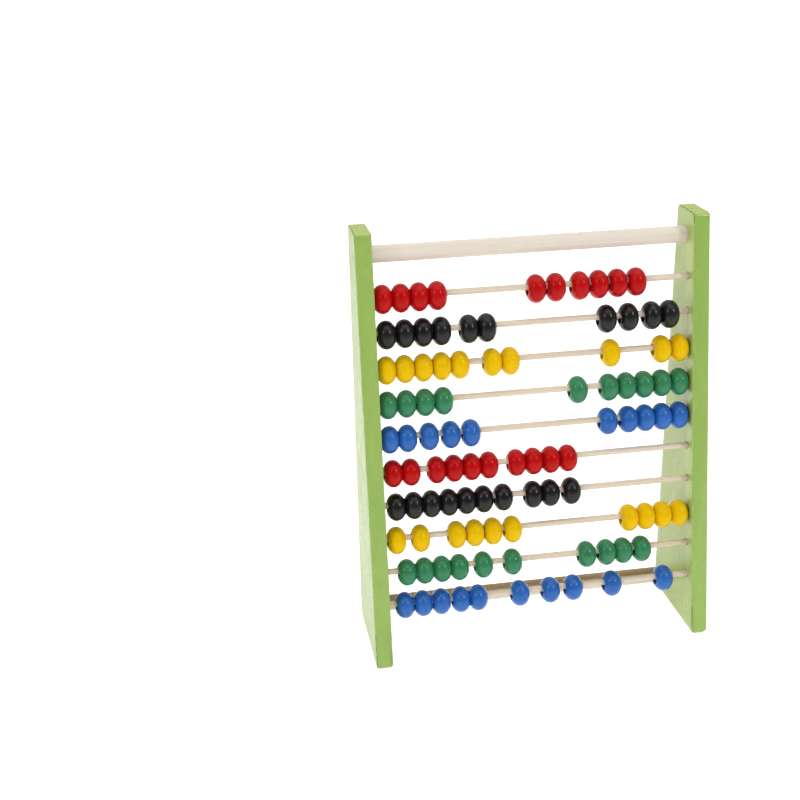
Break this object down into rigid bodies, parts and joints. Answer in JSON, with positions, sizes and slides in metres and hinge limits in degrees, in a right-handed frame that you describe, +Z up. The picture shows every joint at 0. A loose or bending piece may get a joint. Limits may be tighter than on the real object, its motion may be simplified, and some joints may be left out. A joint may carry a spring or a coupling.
{
  "type": "abacus",
  "caption": "Free-standing counting abacus: two sloping painted side panels, a wooden top rail and rows of coloured beads that slide on thin rods.",
  "frame": {"origin": "bottom centre of the bounding box, on the surface that the abacus stands on", "axes": "+Z up, X along the bead rods from left to right, -Y the front that the lower edge of the sloping panels reaches towards"},
  "size_m": [0.1944, 0.0627, 0.2415],
  "materials": {
    "panel_paint": "satin apple-green paint on sanded wood, worn a little along the edges",
    "natural_wood": "bare pale birch dowel, fine lengthwise grain",
    "bead_red": "turned wood in red gloss lacquer",
    "bead_black": "turned wood in black gloss lacquer",
    "bead_yellow": "turned wood in yellow gloss lacquer",
    "bead_green": "turned wood in green gloss lacquer",
    "bead_blue": "turned wood in blue gloss lacquer"
  },
  "bodies": {
    "frame": {"left_side_panel": "panel_paint", "right_side_panel": "panel_paint", "top_rail": "natural_wood", "lower_stretcher": "natural_wood", "bead_rod_1": "natural_wood", "bead_rod_2": "natural_wood", "bead_rod_3": "natural_wood", "bead_rod_4": "natural_wood", "bead_rod_5": "natural_wood", "bead_rod_6": "natural_wood", "bead_rod_7": "natural_wood", "bead_rod_8": "natural_wood", "bead_rod_9": "natural_wood", "bead_rod_10": "natural_wood"},
    "red_beads_row_1_a": {"red_beads_row_1_a": "bead_red"},
    "red_beads_row_1_b": {"red_beads_row_1_b": "bead_red"},
    "red_beads_row_1_c": {"red_beads_row_1_c": "bead_red"},
    "black_beads_row_2_a": {"black_beads_row_2_a": "bead_black"},
    "black_beads_row_2_b": {"black_beads_row_2_b": "bead_black"},
    "black_beads_row_2_c": {"black_beads_row_2_c": "bead_black"},
    "black_beads_row_2_d": {"black_beads_row_2_d": "bead_black"},
    "black_beads_row_2_e": {"black_beads_row_2_e": "bead_black"},
    "yellow_beads_row_3_a": {"yellow_beads_row_3_a": "bead_yellow"},
    "yellow_beads_row_3_b": {"yellow_beads_row_3_b": "bead_yellow"},
    "yellow_beads_row_3_c": {"yellow_beads_row_3_c": "bead_yellow"},
    "yellow_beads_row_3_d": {"yellow_beads_row_3_d": "bead_yellow"},
    "green_beads_row_4_a": {"green_beads_row_4_a": "bead_green"},
    "green_beads_row_4_b": {"green_beads_row_4_b": "bead_green"},
    "green_beads_row_4_c": {"green_beads_row_4_c": "bead_green"},
    "blue_beads_row_5_a": {"blue_beads_row_5_a": "bead_blue"},
    "blue_beads_row_5_b": {"blue_beads_row_5_b": "bead_blue"},
    "blue_beads_row_5_c": {"blue_beads_row_5_c": "bead_blue"},
    "blue_beads_row_5_d": {"blue_beads_row_5_d": "bead_blue"},
    "blue_beads_row_5_e": {"blue_beads_row_5_e": "bead_blue"},
    "blue_beads_row_5_f": {"blue_beads_row_5_f": "bead_blue"},
    "red_beads_row_6_a": {"red_beads_row_6_a": "bead_red"},
    "red_beads_row_6_b": {"red_beads_row_6_b": "bead_red"},
    "red_beads_row_6_c": {"red_beads_row_6_c": "bead_red"},
    "black_beads_row_7_a": {"black_beads_row_7_a": "bead_black"},
    "black_beads_row_7_b": {"black_beads_row_7_b": "bead_black"},
    "black_beads_row_7_c": {"black_beads_row_7_c": "bead_black"},
    "black_beads_row_7_d": {"black_beads_row_7_d": "bead_black"},
    "yellow_beads_row_8_a": {"yellow_beads_row_8_a": "bead_yellow"},
    "yellow_beads_row_8_b": {"yellow_beads_row_8_b": "bead_yellow"},
    "yellow_beads_row_8_c": {"yellow_beads_row_8_c": "bead_yellow"},
    "yellow_beads_row_8_d": {"yellow_beads_row_8_d": "bead_yellow"},
    "yellow_beads_row_8_e": {"yellow_beads_row_8_e": "bead_yellow"},
    "green_beads_row_9_a": {"green_beads_row_9_a": "bead_green"},
    "green_beads_row_9_b": {"green_beads_row_9_b": "bead_green"},
    "green_beads_row_9_c": {"green_beads_row_9_c": "bead_green"},
    "green_beads_row_9_d": {"green_beads_row_9_d": "bead_green"},
    "green_beads_row_9_e": {"green_beads_row_9_e": "bead_green"},
    "green_beads_row_9_f": {"green_beads_row_9_f": "bead_green"},
    "blue_beads_row_10_a": {"blue_beads_row_10_a": "bead_blue"},
    "blue_beads_row_10_b": {"blue_beads_row_10_b": "bead_blue"},
    "blue_beads_row_10_c": {"blue_beads_row_10_c": "bead_blue"},
    "blue_beads_row_10_d": {"blue_beads_row_10_d": "bead_blue"},
    "blue_beads_row_10_e": {"blue_beads_row_10_e": "bead_blue"},
    "blue_beads_row_10_f": {"blue_beads_row_10_f": "bead_blue"},
    "blue_beads_row_10_g": {"blue_beads_row_10_g": "bead_blue"}
  },
  "joints": [
    {"name": "slide_row_1_a", "type": "slide", "parent": "frame", "child": "red_beads_row_1_a", "axis": [1, 0, 0], "range_m": [-0.0001, 0.04455]},
    {"name": "slide_row_1_b", "type": "slide", "parent": "frame", "child": "red_beads_row_1_b", "axis": [1, 0, 0], "range_m": [-0.04455, 0.00355]},
    {"name": "slide_row_1_c", "type": "slide", "parent": "frame", "child": "red_beads_row_1_c", "axis": [1, 0, 0], "range_m": [-0.00355, 0.0247]},
    {"name": "slide_row_2_a", "type": "slide", "parent": "frame", "child": "black_beads_row_2_a", "axis": [1, 0, 0], "range_m": [-0.0012, 0.00515]},
    {"name": "slide_row_2_b", "type": "slide", "parent": "frame", "child": "black_beads_row_2_b", "axis": [1, 0, 0], "range_m": [-0.00515, 0.05755]},
    {"name": "slide_row_2_c", "type": "slide", "parent": "frame", "child": "black_beads_row_2_c", "axis": [1, 0, 0], "range_m": [-0.05755, 0.00255]},
    {"name": "slide_row_2_d", "type": "slide", "parent": "frame", "child": "black_beads_row_2_d", "axis": [1, 0, 0], "range_m": [-0.00255, 0.00335]},
    {"name": "slide_row_2_e", "type": "slide", "parent": "frame", "child": "black_beads_row_2_e", "axis": [1, 0, 0], "range_m": [-0.00335, 0.0057]},
    {"name": "slide_row_3_a", "type": "slide", "parent": "frame", "child": "yellow_beads_row_3_a", "axis": [1, 0, 0], "range_m": [-0.0003, 0.00795]},
    {"name": "slide_row_3_b", "type": "slide", "parent": "frame", "child": "yellow_beads_row_3_b", "axis": [1, 0, 0], "range_m": [-0.00795, 0.04705]},
    {"name": "slide_row_3_c", "type": "slide", "parent": "frame", "child": "yellow_beads_row_3_c", "axis": [1, 0, 0], "range_m": [-0.04705, 0.01945]},
    {"name": "slide_row_3_d", "type": "slide", "parent": "frame", "child": "yellow_beads_row_3_d", "axis": [1, 0, 0], "range_m": [-0.01945, 0.0001]},
    {"name": "slide_row_4_a", "type": "slide", "parent": "frame", "child": "green_beads_row_4_a", "axis": [1, 0, 0], "range_m": [-0.0001, 0.06585]},
    {"name": "slide_row_4_b", "type": "slide", "parent": "frame", "child": "green_beads_row_4_b", "axis": [1, 0, 0], "range_m": [-0.06585, 0.00785]},
    {"name": "slide_row_4_c", "type": "slide", "parent": "frame", "child": "green_beads_row_4_c", "axis": [1, 0, 0], "range_m": [-0.00785, 0.0001]},
    {"name": "slide_row_5_a", "type": "slide", "parent": "frame", "child": "blue_beads_row_5_a", "axis": [1, 0, 0], "range_m": [-0.0002, 0.00205]},
    {"name": "slide_row_5_b", "type": "slide", "parent": "frame", "child": "blue_beads_row_5_b", "axis": [1, 0, 0], "range_m": [-0.00205, 0.00215]},
    {"name": "slide_row_5_c", "type": "slide", "parent": "frame", "child": "blue_beads_row_5_c", "axis": [1, 0, 0], "range_m": [-0.00215, 0.00135]},
    {"name": "slide_row_5_d", "type": "slide", "parent": "frame", "child": "blue_beads_row_5_d", "axis": [1, 0, 0], "range_m": [-0.00135, 0.06825]},
    {"name": "slide_row_5_e", "type": "slide", "parent": "frame", "child": "blue_beads_row_5_e", "axis": [1, 0, 0], "range_m": [-0.06825, 0.00205]},
    {"name": "slide_row_5_f", "type": "slide", "parent": "frame", "child": "blue_beads_row_5_f", "axis": [1, 0, 0], "range_m": [-0.00205, 0.0001]},
    {"name": "slide_row_6_a", "type": "slide", "parent": "frame", "child": "red_beads_row_6_a", "axis": [1, 0, 0], "range_m": [-0.0012, 0.00435]},
    {"name": "slide_row_6_b", "type": "slide", "parent": "frame", "child": "red_beads_row_6_b", "axis": [1, 0, 0], "range_m": [-0.00435, 0.00565]},
    {"name": "slide_row_6_c", "type": "slide", "parent": "frame", "child": "red_beads_row_6_c", "axis": [1, 0, 0], "range_m": [-0.00565, 0.0652]},
    {"name": "slide_row_7_a", "type": "slide", "parent": "frame", "child": "black_beads_row_7_a", "axis": [1, 0, 0], "range_m": [-0.0021, 0.00125]},
    {"name": "slide_row_7_b", "type": "slide", "parent": "frame", "child": "black_beads_row_7_b", "axis": [1, 0, 0], "range_m": [-0.00125, 0.00725]},
    {"name": "slide_row_7_c", "type": "slide", "parent": "frame", "child": "black_beads_row_7_c", "axis": [1, 0, 0], "range_m": [-0.00725, 0.00225]},
    {"name": "slide_row_7_d", "type": "slide", "parent": "frame", "child": "black_beads_row_7_d", "axis": [1, 0, 0], "range_m": [-0.00225, 0.0635]},
    {"name": "slide_row_8_a", "type": "slide", "parent": "frame", "child": "yellow_beads_row_8_a", "axis": [1, 0, 0], "range_m": [-0.0013, 0.00365]},
    {"name": "slide_row_8_b", "type": "slide", "parent": "frame", "child": "yellow_beads_row_8_b", "axis": [1, 0, 0], "range_m": [-0.00365, 0.01045]},
    {"name": "slide_row_8_c", "type": "slide", "parent": "frame", "child": "yellow_beads_row_8_c", "axis": [1, 0, 0], "range_m": [-0.01045, 0.00135]},
    {"name": "slide_row_8_d", "type": "slide", "parent": "frame", "child": "yellow_beads_row_8_d", "axis": [1, 0, 0], "range_m": [-0.00135, 0.05835]},
    {"name": "slide_row_8_e", "type": "slide", "parent": "frame", "child": "yellow_beads_row_8_e", "axis": [1, 0, 0], "range_m": [-0.05835, 0.0001]},
    {"name": "slide_row_9_a", "type": "slide", "parent": "frame", "child": "green_beads_row_9_a", "axis": [1, 0, 0], "range_m": [-0.0064, 0.00385]},
    {"name": "slide_row_9_b", "type": "slide", "parent": "frame", "child": "green_beads_row_9_b", "axis": [1, 0, 0], "range_m": [-0.00385, 0.00695]},
    {"name": "slide_row_9_c", "type": "slide", "parent": "frame", "child": "green_beads_row_9_c", "axis": [1, 0, 0], "range_m": [-0.00695, 0.03355]},
    {"name": "slide_row_9_d", "type": "slide", "parent": "frame", "child": "green_beads_row_9_d", "axis": [1, 0, 0], "range_m": [-0.03355, 0.00175]},
    {"name": "slide_row_9_e", "type": "slide", "parent": "frame", "child": "green_beads_row_9_e", "axis": [1, 0, 0], "range_m": [-0.00175, 0.00105]},
    {"name": "slide_row_9_f", "type": "slide", "parent": "frame", "child": "green_beads_row_9_f", "axis": [1, 0, 0], "range_m": [-0.00105, 0.0224]},
    {"name": "slide_row_10_a", "type": "slide", "parent": "frame", "child": "blue_beads_row_10_a", "axis": [1, 0, 0], "range_m": [-0.0043, 0.00135]},
    {"name": "slide_row_10_b", "type": "slide", "parent": "frame", "child": "blue_beads_row_10_b", "axis": [1, 0, 0], "range_m": [-0.00135, 0.01435]},
    {"name": "slide_row_10_c", "type": "slide", "parent": "frame", "child": "blue_beads_row_10_c", "axis": [1, 0, 0], "range_m": [-0.01435, 0.00795]},
    {"name": "slide_row_10_d", "type": "slide", "parent": "frame", "child": "blue_beads_row_10_d", "axis": [1, 0, 0], "range_m": [-0.00795, 0.00365]},
    {"name": "slide_row_10_e", "type": "slide", "parent": "frame", "child": "blue_beads_row_10_e", "axis": [1, 0, 0], "range_m": [-0.00365, 0.01305]},
    {"name": "slide_row_10_f", "type": "slide", "parent": "frame", "child": "blue_beads_row_10_f", "axis": [1, 0, 0], "range_m": [-0.01305, 0.02105]},
    {"name": "slide_row_10_g", "type": "slide", "parent": "frame", "child": "blue_beads_row_10_g", "axis": [1, 0, 0], "range_m": [-0.02105, 0.0092]}
  ]
}
